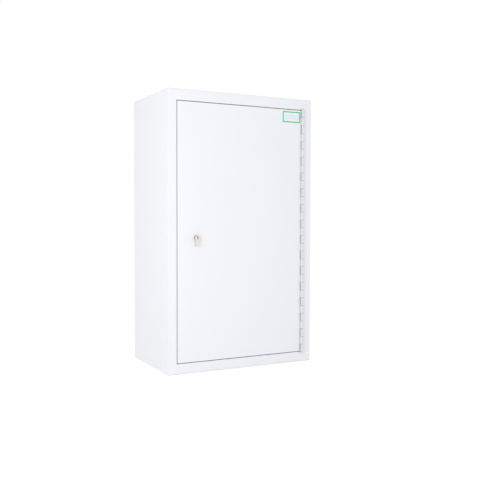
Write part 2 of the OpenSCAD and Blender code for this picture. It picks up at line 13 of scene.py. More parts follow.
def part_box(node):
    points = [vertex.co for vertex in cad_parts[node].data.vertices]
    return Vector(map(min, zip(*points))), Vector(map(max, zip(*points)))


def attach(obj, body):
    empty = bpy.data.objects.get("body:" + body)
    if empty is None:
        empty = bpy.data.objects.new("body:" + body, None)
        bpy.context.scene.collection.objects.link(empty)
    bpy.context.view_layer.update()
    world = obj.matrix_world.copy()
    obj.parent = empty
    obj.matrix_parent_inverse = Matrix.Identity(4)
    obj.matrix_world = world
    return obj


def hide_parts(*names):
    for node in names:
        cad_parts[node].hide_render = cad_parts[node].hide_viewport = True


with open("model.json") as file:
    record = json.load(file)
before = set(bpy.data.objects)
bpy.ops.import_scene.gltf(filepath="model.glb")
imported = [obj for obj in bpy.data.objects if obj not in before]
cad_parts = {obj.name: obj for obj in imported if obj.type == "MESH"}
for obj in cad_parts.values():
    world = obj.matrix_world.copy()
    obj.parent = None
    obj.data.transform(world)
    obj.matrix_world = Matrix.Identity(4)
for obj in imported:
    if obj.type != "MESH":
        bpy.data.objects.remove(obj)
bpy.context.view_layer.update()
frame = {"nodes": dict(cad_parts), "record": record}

bl_info = {
    "name": "Medicine Cabinet Looks",
    "version": (1, 0, 0),
    "blender": (4, 5, 0),
    "location": "3D View > Sidebar > Cabinet",
    "description": "Finishes the packed cabinet: coat, plating, lock, label, screws and studio",
    "category": "Object",
}

MM = 0.001
# Points closer than the first length are one point, and a face thinner than the second is none.
MERGE, THIN = 1e-6, 1e-7
NEAR_ZERO = 1e-9
SMOOTH_ANGLE = math.radians(32)


def colour(name, of, value):
    """A colour setting."""
    kind = {"subtype": "COLOR", "size": 3, "min": 0.0, "max": 1.0}
    return FloatVectorProperty(name=name, description="Colour of " + of, default=value, **kind)


def length(name, description, millimetres):
    """A length setting, given in millimetres and held in metres."""
    kind = {"subtype": "DISTANCE", "unit": "LENGTH", "precision": 5}
    return FloatProperty(name=name, description=description, default=millimetres * MM, min=0.0, **kind)


def share(name, description, value):
    """A setting from 0 to 1."""
    kind = {"subtype": "FACTOR", "min": 0.0, "max": 1.0}
    return FloatProperty(name=name, description=description, default=value, **kind)


def power(name, description, watts):
    """A lamp's power."""
    return FloatProperty(name=name, description=description, default=watts, min=0.0, subtype="POWER")


def angle(name, description, degrees):
    """An angle setting, given in degrees and held in radians."""
    kind = {"subtype": "ANGLE", "unit": "ROTATION"}
    return FloatProperty(name=name, description=description, default=math.radians(degrees), **kind)


class CabinetFinish(bpy.types.PropertyGroup):
    """Colours and textures of the finishes."""

    coat: colour("Powder coat", "the casing, door and shelves", (0.90, 0.898, 0.915))
    hinge_coat: colour("Hinge", "the hinge's leaves and knuckles", (0.765, 0.79, 0.805))
    zinc: colour("Zinc", "zinc plated steel", (0.62, 0.64, 0.66))
    bolt: colour("Bolt", "the bolt's nickel plated steel", (0.74, 0.73, 0.71))
    nickel: colour("Nickel", "ground satin nickel", (0.90, 0.84, 0.79))
    # The round and tail colours are painted shade on the cylinder's sides, darkest on the round part.
    nickel_round_shaded: colour("Turned nickel", "the cylinder's round side", (0.50, 0.48, 0.48))
    nickel_tail_shaded: colour("Drawn nickel", "the sides of the cylinder's tail", (0.82, 0.78, 0.78))
    brass: colour("Brass", "the plug's face", (0.97, 0.85, 0.66))
    dull_brass: colour("Dull brass", "the brass inside the keyway", (0.20, 0.10, 0.03))
    rubber: colour("Rubber", "the door buffers", (0.03, 0.03, 0.032))
    plastic: colour("Plastic", "the rod guides", (0.045, 0.045, 0.05))
    label_edge: colour("Label border", "the label's border", (0.06, 0.60, 0.26))
    label_field: colour("Label field", "the field inside the label's border", (0.91, 0.91, 0.96))
    label_rule: colour("Label rules", "the label's ruled lines", (0.48, 0.48, 0.60))
    # The joint colour is bare steel darkened as painted shade of the gaps between knuckles; joint is its
    # width.
    joint_steel_and_shade: colour("Bare steel", "the joints between knuckles", (0.20, 0.20, 0.21))
    knuckles: IntProperty(name="Knuckles", description="Number of knuckles of the hinge", default=31, min=3)
    joint: length("Joint", "Width of the bare joint between knuckles", 0.9)
    peel_size: length("Peel size", "Width of one ripple of the coat's orange peel", 1.3)
    peel_depth: length("Peel depth", "Height of the coat's orange peel", 0.04)
    weld_inset: length("Weld inset", "Distance of the spot welds from a sheet's edge", 9.0)
    weld_pitch: length("Weld pitch", "Distance between spot welds", 62.0)
    weld_radius: length("Weld radius", "Radius of a spot weld's mark", 3.2)
    weld_depth: length("Weld depth", "Depth of a spot weld's mark", 0.25)
    # The weld shade is painted shade in the dimples of the spot welds.
    weld_shade: share("Weld shade", "Darkening inside a spot weld's mark", 0.07)
    # Fold reach and fold shade give the painted shade along folded edges.
    fold_reach: length("Fold reach", "Distance from a folded edge at which the coat is whole again", 3.0)
    fold_shade: share("Fold shade", "Darkening where the coat is thin on a fold", 0.14)
    # The edge settings give the painted shade on the door's free edge, in the gap beside the frame.
    edge_reach: length("Edge reach", "Distance in from the door's free edge that counts as its edge", 1.0)
    edge_depth: length("Edge depth", "Depth of the handling marks on the door's free edge", 12.0)
    edge_shade: share("Edge shade", "Darkening of the handling marks on the door's free edge", 0.16)


class CabinetLabel(bpy.types.PropertyGroup):
    """Sizes of the plain label at the door's top corner."""

    corner: length("Corner radius", "Radius of the label's corners", 1.5)
    border: length("Border", "Width of the label's border", 3.8)
    rule: length("Rule", "Width of one ruled line", 1.1)
    rule_gap: length("Rule spacing", "Distance between the two ruled lines", 8.0)
    rule_inset: length("Rule inset", "Distance of a ruled line's ends from the border", 4.0)


class CabinetLock(bpy.types.PropertyGroup):
    """Sizes of the profile cylinder."""

    round_radius: length("Round", "Radius of the cylinder's round part", 8.5)
    tail_radius: length("Tail", "Half width of the cylinder's tail", 5.0)
    tail_drop: length("Tail drop", "Distance from the axis to the centre of the tail's end", 19.5)
    bore_radius: length("Bore", "Radius of the plug's bore", 6.55)
    chamfer: length("Chamfer", "Width of the chamfer round the face", 0.45)
    cam_slot: length("Cam slot", "Width of the slot for the cam", 10.0)
    bridge_top: length("Bridge", "Distance from the axis down to the bridge below the cam", 15.8)
    plug_recess: length("Plug recess", "Depth of the dished middle of the plug's face", 0.25)
    plug_rim: length("Plug rim", "Width of the raised rim of the plug's face", 1.08)
    rim_slope: length("Rim slope", "Width of the slope from the rim down to the dish", 0.18)
    lead_in: length("Lead in", "Width of the chamfer round the keyway", 0.315)
    keyway_head: length("Keyway head", "Half width of the keyway's round head", 1.8)
    keyway_height: length("Keyway height", "Distance from the plug's axis to the keyway's top and foot", 4.9)
    keyway_depth: length("Keyway depth", "Depth of the keyway", 24.0)


class CabinetFasteners(bpy.types.PropertyGroup):
    """Shapes of the screws, most as shares of the head's radius, and points round a turned piece."""

    recess_depth: share("Recess depth", "Depth of the cross recess", 0.42)
    recess_width: share("Recess width", "Half width of one arm of the recess", 0.17)
    recess_length: share("Recess length", "Length of one arm of the recess", 0.62)
    recess_wall: share("Recess wall", "Width of an arm's wall as a share of its half width", 0.3)
    recess_end: share("Recess end", "Length of the slope at the end of an arm", 0.35)
    crown: share("Crown", "Drop from the middle of a pan head to its rim", 0.22)
    rim_edge: length("Rim edge", "Height of the straight edge of a countersunk head", 0.12)
    tip_length: share("Tip length", "Length of the tapered end as a share of the shank's radius", 0.3)
    tip_radius: share("Tip radius", "Radius of the end as a share of the shank's radius", 0.6)
    segments: IntProperty(name="Segments", description="Points round a screw or buffer", default=40, min=12)


class CabinetStudio(bpy.types.PropertyGroup):
    """Camera, floor and lamps."""

    lens: FloatProperty(name="Lens", description="Focal length on a 36 mm wide sensor, in mm", default=52.21)
    camera_place: FloatVectorProperty(
        name="Camera", description="Camera position", default=(-1.0034, -2.0685, 0.4794), unit="LENGTH"
    )
    yaw: angle("Yaw", "Heading, clockwise from the +Y axis", 27.382)
    pitch: angle("Pitch", "Upward tilt of the view", -2.108)
    roll: angle("Roll", "Anticlockwise turn of the frame", 0.115)
    sky: FloatProperty(name="Sky", description="Strength of the even light from all round", default=0.86)
    key: power("Key", "Power of the small lamp before the lock side", 2.55)
    side: power("Side", "Power of the broad lamp on the left", 3.5)
    edge: power("Edge", "Power of the broad lamp on the right", 1.5)
    floor_glow: FloatProperty(
        name="Floor glow", description="Brightness of the floor where nothing shades it", default=1.03
    )
    floor_shade: share("Floor shade", "Share of the floor's look that takes the object's shadow", 0.06)
    floor_size: length("Floor", "Half width of the floor", 9000)


# Surfaces


def quads(rows, cols, wrap_rows, wrap_cols):
    """Corner numbers of a grid's faces: point (i, j) joins (i, j+1), (i+1, j+1) and (i+1, j), modulo
    the grid's size on a side that wraps."""
    last_row, last_col = (rows if wrap_rows else rows - 1), (cols if wrap_cols else cols - 1)
    i, j = np.meshgrid(np.arange(last_row), np.arange(last_col), indexing="ij")
    row, next_row = i * cols, (i + 1) % rows * cols
    next_j = (j + 1) % cols
    return np.stack([row + j, row + next_j, next_row + next_j, next_row + j], -1).reshape(-1, 4)


def build(name, grids):
    """One object from grids of points, each given as (points, wraps in rows, wraps in columns): the
    grids' faces are numbered one after another, points that coincide are merged, and an edge is sharp
    where its faces turn by more than the smooth angle."""
    points, faces, start = [], [], 0
    for grid, wrap_rows, wrap_cols in grids:
        rows, cols = grid.shape[:2]
        faces.append(quads(rows, cols, wrap_rows, wrap_cols) + start)
        points.append(grid.reshape(-1, 3))
        start += rows * cols
    mesh = bpy.data.meshes.new(name)
    mesh.from_pydata(np.concatenate(points).tolist(), [], np.concatenate(faces).tolist())
    work = bmesh.new()
    work.from_mesh(mesh)
    bmesh.ops.remove_doubles(work, verts=work.verts, dist=MERGE)
    bmesh.ops.dissolve_degenerate(work, edges=work.edges, dist=THIN)
    bmesh.ops.recalc_face_normals(work, faces=work.faces)
    work.to_mesh(mesh)
    work.free()
    mesh.shade_smooth()
    mesh.set_sharp_from_angle(angle=SMOOTH_ANGLE)
    piece = bpy.data.objects.new(name, mesh)
    bpy.context.scene.collection.objects.link(piece)
    return piece


def points_of(x, y, z):
    """Points from their x, y and z values, each an array or one value for all."""
    return np.stack(np.broadcast_arrays(x, y, z), -1)


def turned(profile, segments):
    """A profile of (radius, height) pairs turned about the Z axis: point (i, j) is the i-th pair at
    angle 2 pi j / segments."""
    radius, height = np.array(profile, float).T[:, :, None]
    turn = np.linspace(0, 2 * np.pi, segments, endpoint=False)
    return points_of(radius * np.cos(turn), radius * np.sin(turn), height)


def placed(grid, origin, outward):
    """A grid made about the Z axis, turned so that +Z points outward and moved to the origin given."""
    turn = np.array(Vector((0, 0, 1)).rotation_difference(Vector(outward)).to_matrix())
    return grid @ turn.T + np.asarray(origin, float)


# Node helpers


def wire(source, target):
    """Joins an output socket to an input socket, or gives the input a value; a colour has no alpha."""
    if isinstance(source, bpy.types.NodeSocket):
        target.id_data.links.new(source, target)
    else:
        target.default_value = (*source, 1.0) if target.type == "RGBA" else source


def feed(node, **values):
    """Joins or sets a node's inputs by name, with an underscore for a space."""
    for name, value in values.items():
        wire(value, node.inputs[name.replace("_", " ")])


def add_node(tree, kind, **values):
    """Adds a shader node; a value named after an attribute sets it, and any other feeds the input of
    that name."""
    node = tree.nodes.new("ShaderNode" + kind)
    for name, value in values.items():
        if hasattr(node, name):
            setattr(node, name, value)
        else:
            feed(node, **{name: value})
    return node


def maths(operation, *terms, kind="Math"):
    """One Math node; each term is a socket or a number, and at least one is a socket."""
    tree = next(term.id_data for term in terms if isinstance(term, bpy.types.NodeSocket))
    node = add_node(tree, kind, operation=operation)
    for slot, term in zip(node.inputs, terms):
        wire(term, slot)
    return node.outputs[0]


def mixed(factor, first, second):
    """A colour mix; the factor is a socket, and a colour is a socket or a value."""
    node = add_node(factor.id_data, "Mix", data_type="RGBA")
    wire(factor, node.inputs[0])
    wire(first, node.inputs[6])
    wire(second, node.inputs[7])
    return node.outputs[2]


def vector_maths(operation, *terms):
    """One Vector Math node; each term is a socket."""
    return maths(operation, *terms, kind="VectorMath")


def toned(tint, tone):
    """A colour times a tone."""
    node = add_node(tint.id_data, "VectorMath", operation="SCALE", Scale=tone)
    wire(tint, node.inputs[0])
    return node.outputs[0]


def step_up(value, end):
    """Smooth step from 0 at 0 to 1 at the end."""
    kind = {"interpolation_type": "SMOOTHSTEP"}
    return add_node(value.id_data, "MapRange", **kind, Value=value, From_Max=end).outputs[0]


def shaded(tint, shade, clear):
    """A colour darkened by the shade where clear is 0, and untouched where clear is 1."""
    missing = maths("SUBTRACT", 1.0, clear)
    return toned(tint, maths("SUBTRACT", 1.0, maths("MULTIPLY", missing, shade)))


def here(tree):
    """The point that is shaded, in the object's own frame."""
    return add_node(tree, "TexCoord").outputs["Object"]


def parts(vector):
    """X, Y and Z of a vector."""
    return add_node(vector.id_data, "SeparateXYZ", Vector=vector).outputs


def bumped(height, distance):
    """A bump at full strength."""
    return add_node(height.id_data, "Bump", Strength=1.0, Distance=distance, Height=height)


def new_group(name, labels, starts, outputs):
    """An empty shader node group: its inputs are the labels and then those that start with a value. A
    socket holds a number unless its label is one of the kinds."""
    tree = bpy.data.node_groups.new(name, "ShaderNodeTree")
    for way, sockets in [("INPUT", [*labels, *starts]), ("OUTPUT", outputs)]:
        for label in sockets:
            kind = KINDS.get(label, "NodeSocketFloat")
            socket = tree.interface.new_socket(label, in_out=way, socket_type=kind)
            if way == "INPUT" and label in starts:
                socket.default_value = starts[label]
    return tree, tree.nodes.new("NodeGroupInput").outputs, tree.nodes.new("NodeGroupOutput").inputs


# The value that a noise swings about; what the sockets of a group hold that do not hold a number; and
# what a surface group puts out.
NOISE_MIDDLE = 0.5
VECTORS = ["Normal", "Line Stretch", "Centre", "Low", "High"]
KINDS = {"Colour": "NodeSocketColor", **dict.fromkeys(VECTORS, "NodeSocketVector")}
SURFACE = ["Colour", "Roughness", "Normal"]


def put_out(given, result, tone, swing, bump):
    """Sends out a surface's colour times 1 plus the tone, its roughness plus the swing's share of its
    spread, and its normal."""
    wire(toned(given["Colour"], maths("ADD", 1.0, tone)), result["Colour"])
    rough = maths("MULTIPLY", swing, given["Roughness Spread"])
    wire(maths("ADD", given["Roughness"], rough), result["Roughness"])
    wire(bump.outputs[0], result["Normal"])


def coat_group(name):
    """Baked powder coat: broad ripples less a share of finer pimples as a normal, a faint cloudiness of
    tone and a roughness that rises and falls with it."""
    pimple_fineness, pimple_share = 1.9, -0.35
    tree, given, result = new_group(
        name,
        ["Colour", "Ripple Scale", "Ripple Height"],
        {"Cloud": 0.02, "Roughness": 0.42, "Roughness Spread": 0.10},
        SURFACE,
    )
    place, scale = here(tree), given["Ripple Scale"]
    ripple = add_node(tree, "TexNoise", Vector=place, Scale=scale, Detail=2.0, Roughness=0.45)
    fine = maths("MULTIPLY", scale, pimple_fineness)
    pimple = add_node(tree, "TexVoronoi", feature="SMOOTH_F1", Vector=place, Scale=fine, Smoothness=0.6)
    pimples = maths("MULTIPLY", pimple.outputs["Distance"], pimple_share)
    bump = bumped(maths("ADD", ripple.outputs[0], pimples), given["Ripple Height"])
    cloud = add_node(tree, "TexNoise", Vector=place, Scale=9.0, Detail=4.0, Roughness=0.6)
    swing = maths("SUBTRACT", cloud.outputs[0], NOISE_MIDDLE)
    put_out(given, result, maths("MULTIPLY", swing, given["Cloud"]), swing, bump)
    return tree


def plate_group(name):
    """Plated or ground metal: drawn lines from noise stretched along one axis, over broad patches that
    change both tone and roughness."""
    tree, given, result = new_group(
        name,
        ["Colour", "Line Stretch"],
        {
            "Line Strength": 0.12,
            "Line Height": 0.000004,
            "Patch Scale": 160.0,
            "Patch Strength": 0.10,
            "Roughness": 0.34,
            "Roughness Spread": 0.16,
        },
        SURFACE,
    )
    place = here(tree)
    stretched = vector_maths("MULTIPLY", place, given["Line Stretch"])
    lines = add_node(tree, "TexNoise", Vector=stretched, Scale=1.0, Detail=4.0, Roughness=0.65)
    patch = add_node(tree, "TexVoronoi", feature="F1", Vector=place, Scale=given["Patch Scale"])
    spangle = add_node(tree, "SeparateColor", Color=patch.outputs["Color"])
    line_swing = maths("SUBTRACT", lines.outputs[0], NOISE_MIDDLE)
    patch_swing = maths("SUBTRACT", spangle.outputs[0], NOISE_MIDDLE)
    line_tone = maths("MULTIPLY", line_swing, given["Line Strength"])
    tone = maths("ADD", line_tone, maths("MULTIPLY", patch_swing, given["Patch Strength"]))
    bump = bumped(lines.outputs[0], given["Line Height"])
    put_out(given, result, tone, maths("ADD", line_swing, patch_swing), bump)
    return tree


def group(name, maker):
    """The node group of that name, made the first time it is asked for."""
    return bpy.data.node_groups.get(name) or maker(name)


def new_material(name):
    """A new material and its node tree."""
    material = bpy.data.materials.new(name)
    material.use_nodes = True
    return material, material.node_tree


def shader_of(material):
    """A material's shader."""
    return material.node_tree.nodes["Principled BSDF"]


def place_in(material):
    """X, Y and Z of the point that a material shades."""
    return parts(here(material.node_tree))


def surface_material(name, surface, inputs, **shader):
    """A material whose colour, roughness and normal come from a surface group; shader sets the
    shader's own constant values."""
    material, tree = new_material(name)
    node = add_node(tree, "Group", node_tree=surface)
    for label, value in inputs.items():
        wire(value, node.inputs[label])
    tint, roughness, normal = node.outputs
    feed(shader_of(material), Base_Color=tint, Roughness=roughness, Normal=normal, **shader)
    return material


def surface_of(material):
    """The surface group that a material is built on."""
    return next(node for node in material.node_tree.nodes if node.type == "GROUP")


def overlay(material, effect, values, sockets):
    """Puts an effect between a material's surface group and its shader, on the shader's sockets named."""
    node = add_node(material.node_tree, "Group", node_tree=effect)
    for label, value in values.items():
        wire(value, node.inputs[label])
    for socket in sockets:
        target = shader_of(material).inputs[socket]
        label = "Colour" if socket == "Base Color" else socket
        wire(target.links[0].from_socket, node.inputs[label])
        wire(node.outputs[label], target)


def coat_material(name, tint, finish, **changes):
    """Powder coat in one colour; changes set the surface group's other inputs."""
    values = {"Colour": tint, "Ripple Scale": 1.0 / finish.peel_size, "Ripple Height": finish.peel_depth}
    return surface_material(name, group("Powder coat", coat_group), values | changes, IOR=1.48)


def plate_material(name, tint, stretch, **changes):
    """Plated metal in one colour. Stretch is the number of lines to a metre along X, Y and Z, so that
    they are drawn along the axis with the fewest."""
    values = {"Colour": tint, "Line Stretch": stretch}
    return surface_material(name, group("Plated metal", plate_group), values | changes, Metallic=1.0)


def nodes_of(slot):
    """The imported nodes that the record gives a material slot."""
    return [row["node"] for row in frame["record"]["subparts"] if row["material_slot"] == slot]


def finish_nodes(names, material):
    """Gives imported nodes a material."""
    for name in names:
        slots = frame["nodes"][name].data.materials
        slots.clear()
        slots.append(material)


def settle(piece, material, body, replaced):
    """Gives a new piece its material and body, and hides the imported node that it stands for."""
    piece.data.materials.append(material)
    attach(piece, body)
    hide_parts(replaced)


# Operators


class CabinetOperator:
    """What the operators share."""

    bl_options = {"REGISTER", "UNDO"}


class CABINET_OT_coat(CabinetOperator, bpy.types.Operator):
    """Powder coats the sheets, with spot welds and bare hinge joints, and painted shade on their folds, in
    the welds' dimples, on the door's free edge and in the hinge joints
    """

    bl_idname = "cabinet.coat"
    bl_label = "Powder coat"

    def execute(self, context):
        finish = context.scene.cabinet_finish
        finish_nodes(nodes_of("white_powder_coat"), coat_material("white_coat", finish.coat, finish))
        fold_shaded_coat("casing_coat", finish, ["casing_left", "casing_right", "casing_top", "casing_bottom"])
        for shelf in ["lower", "middle", "upper"]:
            fold_shaded_coat("shelf_coat_" + shelf, finish, ["shelf_" + shelf])
        door = coat_material("door_coat", finish.coat, finish)
        shaded_door_edge(door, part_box("door_panel")[0], finish)
        finish_nodes(["door_panel"], door)
        for name, node in [("back_coat", "back_panel"), ("stiffener_coat", "door_stiffener")]:
            welded = coat_material(name, finish.coat, finish)
            welds_round(welded, *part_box(node), finish)
            finish_nodes([node], welded)
        hinge = coat_material("hinge_coat", finish.hinge_coat, finish, Roughness=0.55)
        shaded_bare_joints(hinge, finish)
        finish_nodes(["hinge_frame_leaf", "hinge_door_leaf", "hinge_pin"], hinge)
        return {"FINISHED"}


def shaded_bare_joints(material, finish):
    """Shows bare steel at the joints between knuckles, darkened further as painted shade of the gaps
    between them: on the barrel, in front of the leaves, where the height is within half a joint of a
    whole number of knuckles."""
    low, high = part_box("hinge_frame_leaf")
    pitch = (high.z - low.z) / finish.knuckles
    _, y, z = place_in(material)
    away = maths("PINGPONG", maths("SUBTRACT", z, low.z), pitch / 2)
    joint = maths("LESS_THAN", away, finish.joint / 2)
    barrel = maths("LESS_THAN", y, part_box("door_panel")[0].y)
    # Painted shade: the joints are darker than bare steel, as the gaps between knuckles would be.
    tint = mixed(maths("MULTIPLY", joint, barrel), finish.hinge_coat, finish.joint_steel_and_shade)
    wire(tint, surface_of(material).inputs["Colour"])


def weld_group(name):
    """Spot weld marks round a rectangle: a round dimple wherever the distance to the nearest weld on
    the rectangle's sides is under the weld's radius. Along a side the welds repeat at the pitch. In a
    dimple the colour is darkened by the shade, as painted shade."""
    tree, given, result = new_group(
        name,
        ["Centre", "Half Width", "Half Height", "Pitch", "Radius", "Depth", "Shade", "Colour", "Normal"],
        {},
        ["Colour", "Normal"],
    )
    place = parts(vector_maths("SUBTRACT", here(tree), given["Centre"]))
    half_pitch = maths("MULTIPLY", given["Pitch"], 0.5)
    nearest = []
    for across, along, reach in [(0, 2, "Half Width"), (2, 0, "Half Height")]:
        off_line = maths("SUBTRACT", maths("ABSOLUTE", place[across]), given[reach])
        off_weld = maths("PINGPONG", place[along], half_pitch)
        squares = [maths("MULTIPLY", term, term) for term in (off_line, off_weld)]
        nearest.append(maths("SQRT", maths("ADD", *squares)))
    bowl = step_up(maths("MINIMUM", *nearest), given["Radius"])
    bump = bumped(bowl, given["Depth"])
    feed(bump, Normal=given["Normal"])
    wire(bump.outputs[0], result["Normal"])
    # Painted shade: the colour is darkest in the middle of each dimple.
    wire(shaded(given["Colour"], given["Shade"], bowl), result["Colour"])
    return tree


def welds_round(material, low, high, finish):
    """Adds spot weld marks round a sheet, a little in from its sides."""
    half = (high - low) / 2
    values = {
        "Centre": (low + high) / 2,
        "Half Width": half.x - finish.weld_inset,
        "Half Height": half.z - finish.weld_inset,
        "Pitch": finish.weld_pitch,
        "Radius": finish.weld_radius,
        "Depth": finish.weld_depth,
        "Shade": finish.weld_shade,
    }
    overlay(material, group("Spot weld marks", weld_group), values, ["Base Color", "Normal"])


def fold_shade_group(name):
    """Painted shade along the folded edges of a box. Along each axis the distance to the nearer of
    the box's two faces is taken; the middle one of the three is the distance to the nearest edge. The
    colour is darkened by the shade at an edge and clears with a smooth step over the reach."""
    inputs = ["Low", "High", "Reach", "Shade", "Colour"]
    tree, given, result = new_group(name, inputs, {}, ["Colour"])
    place = here(tree)
    over_low = vector_maths("SUBTRACT", place, given["Low"])
    under_high = vector_maths("SUBTRACT", given["High"], place)
    x, y, z = parts(vector_maths("MINIMUM", over_low, under_high))
    lesser, greater = maths("MINIMUM", x, y), maths("MAXIMUM", x, y)
    middle = maths("MAXIMUM", lesser, maths("MINIMUM", greater, z))
    clear = step_up(middle, given["Reach"])
    wire(shaded(given["Colour"], given["Shade"], clear), result["Colour"])
    return tree


def fold_shaded_coat(name, finish, nodes):
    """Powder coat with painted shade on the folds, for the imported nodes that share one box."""
    boxes = np.array([[corner[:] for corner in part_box(node)] for node in nodes])
    material = coat_material(name, finish.coat, finish)
    values = {
        "Low": boxes[:, 0].min(0),
        "High": boxes[:, 1].max(0),
        "Reach": finish.fold_reach,
        "Shade": finish.fold_shade,
    }
    overlay(material, group("Painted shade on folds", fold_shade_group), values, ["Base Color"])
    finish_nodes(nodes, material)


def shaded_door_edge(material, low, finish):
    """Darkens the door's free edge with painted shade, where it faces into the gap beside the frame: the
    shade clears with the depth behind the face, and goes no further in than the edge's reach."""
    x, y, _ = place_in(material)
    deep = step_up(maths("SUBTRACT", y, low.y), finish.edge_depth)
    # Painted shade: dark near the front of the free edge's side, clear further back and on the face.
    clear = maths("MAXIMUM", deep, maths("GREATER_THAN", x, low.x + finish.edge_reach))
    target = shader_of(material).inputs["Base Color"]
    wire(shaded(target.links[0].from_socket, finish.edge_shade, clear), target)


class CABINET_OT_plating(CabinetOperator, bpy.types.Operator):
    """Plates the lock, bolt, rods, clips and rivets"""

    bl_idname = "cabinet.plating"
    bl_label = "Plating"

    def execute(self, context):
        finish = context.scene.cabinet_finish
        for slot, name, tint, stretch in [
            ("zinc_plated_steel", "bright_zinc", finish.zinc, (900, 900, 60)),
            ("nickel_plated_steel", "satin_nickel", finish.bolt, (120, 2500, 2500)),
        ]:
            finish_nodes(nodes_of(slot), plate_material(name, tint, stretch))
        return {"FINISHED"}


class CABINET_OT_plastics(CabinetOperator, bpy.types.Operator):
    """Makes the domed rubber buffers and finishes the moulded rod guides"""

    bl_idname = "cabinet.plastics"
    bl_label = "Buffers and guides"

    def execute(self, context):
        scene = context.scene
        finish = scene.cabinet_finish
        low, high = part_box("door_buffers")
        shape = turned(buffer_profile(high.y - low.y), scene.cabinet_fasteners.segments)
        grids = []
        for box in loose_solids("door_buffers"):
            x, _, z = box.mean(0)
            grids.append((placed(shape, (x, high.y, z), (0, -1, 0)), False, True))
        changes = {"Roughness": 0.72, "Cloud": 0.25, "Ripple Scale": 2500.0}
        rubber = coat_material("soft_rubber", finish.rubber, finish, **changes)
        settle(build("rubber_buffers", grids), rubber, "casing", "door_buffers")
        changes = {"Roughness": 0.5, "Cloud": 0.15, "Ripple Scale": 1800.0}
        plastic = coat_material("moulded_plastic", finish.plastic, finish, **changes)
        finish_nodes(["rod_guides"], plastic)
        return {"FINISHED"}


# Millimetres: a buffer's foot as radius and height, its rounded rim's middle radius, breadth and
# height, and its dimple as radius and depth below the top.
BUFFER_FOOT = ((0.0, 0.0), (5.0, 0.0), (5.0, 0.7), (4.6, 1.0))
BUFFER_RIM = (2.6, 1.6, 1.2)
BUFFER_DIMPLE = ((1.2, 0.05), (0.8, 0.5), (0.0, 0.6))


def buffer_profile(tall):
    """Profile of a door buffer: the foot, then a quarter of an ellipse up to the top, with radius
    middle + breadth cos and height top - rise + rise sin, then the dimple."""
    middle, breadth, rise = (size * MM for size in BUFFER_RIM)
    rim_points = 9
    arc = np.linspace(0, np.pi / 2, rim_points)
    rim = np.stack([middle + breadth * np.cos(arc), tall - rise + rise * np.sin(arc)], -1)
    foot, dimple = np.array(BUFFER_FOOT) * MM, np.array(BUFFER_DIMPLE) * MM
    dimple[:, 1] = tall - dimple[:, 1]
    return np.concatenate([foot, rim, dimple])


def loose_solids(node):
    """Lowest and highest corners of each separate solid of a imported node, as one (n, 2, 3) array: a
    solid's points are a first one and then all that an edge joins to one already found."""
    work = bmesh.new()
    work.from_mesh(frame["nodes"][node].data)
    bmesh.ops.remove_doubles(work, verts=work.verts, dist=MERGE)
    left, boxes = set(work.verts), []
    for vert in work.verts:
        if vert not in left:
            continue
        left.remove(vert)
        found = [vert]
        for at in found:
            near = {edge.other_vert(at) for edge in at.link_edges} & left
            left -= near
            found.extend(near)
        points = np.array([at.co[:] for at in found])
        boxes.append((points.min(0), points.max(0)))
    work.free()
    return np.array(boxes)


class CABINET_OT_label(CabinetOperator, bpy.types.Operator):
    """Makes the plain label with its border and two ruled lines"""

    bl_idname = "cabinet.label"
    bl_label = "Label"

    def execute(self, context):
        scene = context.scene
        finish, sizes = scene.cabinet_finish, scene.cabinet_label
        low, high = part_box("label")
        centre, half = (low + high) / 2, (high - low) / 2
        grid = label_surface(centre, half, sizes.corner)
        material = label_material(centre, half, finish, sizes)
        settle(build("door_label", [(grid, False, True)]), material, "door", "label")
        return {"FINISHED"}


def label_surface(centre, half, corner):
    """A thin plate with round corners. The outline at angle t is the corner centre that lies in t's
    quadrant plus the corner radius along t; the rows shrink it to the middle on the back, step it out
    at the edge and shrink it again on the front, where the last of the edge is turned in. The small
    start angle keeps every point inside one quadrant."""
    points, start, turn_in = 96, 1e-4, 0.05 * MM
    t = np.linspace(0, 2 * np.pi, points, endpoint=False) + start
    along = np.stack([np.cos(t), np.sin(t)], -1)
    reach = np.array([half.x, half.z]) - corner
    rows = []
    for scale, inset, y in [
        (0.0, 0.0, half.y),
        (1.0, 0.0, half.y),
        (1.0, 0.0, -half.y + turn_in),
        (1.0, turn_in, -half.y),
        (0.0, 0.0, -half.y),
    ]:
        x, z = ((np.sign(along) * reach + along * (corner - inset)) * scale).T
        rows.append(points_of(x + centre.x, centre.y + y, z + centre.z))
    return np.stack(rows)


def label_material(centre, half, finish, sizes):
    """Printed film: the border is where the distance to the nearest edge is under the border's width,
    and a ruled line is where the height is within half a rule of its own."""
    roughness, spread, grain_height = 0.34, 0.12, 0.000004
    material, tree = new_material("label_film")
    x, _, z = place_in(material)
    across = maths("ABSOLUTE", maths("SUBTRACT", x, centre.x))
    up = maths("ABSOLUTE", maths("SUBTRACT", z, centre.z))
    edge_x = maths("SUBTRACT", half.x - sizes.border, across)
    edge_z = maths("SUBTRACT", half.z - sizes.border, up)
    field = maths("GREATER_THAN", maths("MINIMUM", edge_x, edge_z), 0.0)
    off_rule = maths("ABSOLUTE", maths("SUBTRACT", up, sizes.rule_gap / 2))
    on_rule = maths("LESS_THAN", off_rule, sizes.rule / 2)
    rule = maths("MULTIPLY", on_rule, maths("GREATER_THAN", edge_x, sizes.rule_inset))
    ruled = mixed(rule, finish.label_field, finish.label_rule)
    fibre = add_node(tree, "TexNoise", Vector=here(tree), Scale=1800.0, Detail=3.0).outputs[0]
    feed(
        shader_of(material),
        Base_Color=mixed(field, finish.label_edge, ruled),
        Roughness=maths("ADD", roughness, maths("MULTIPLY", fibre, spread)),
        Normal=bumped(fibre, grain_height).outputs[0],
    )
    return material


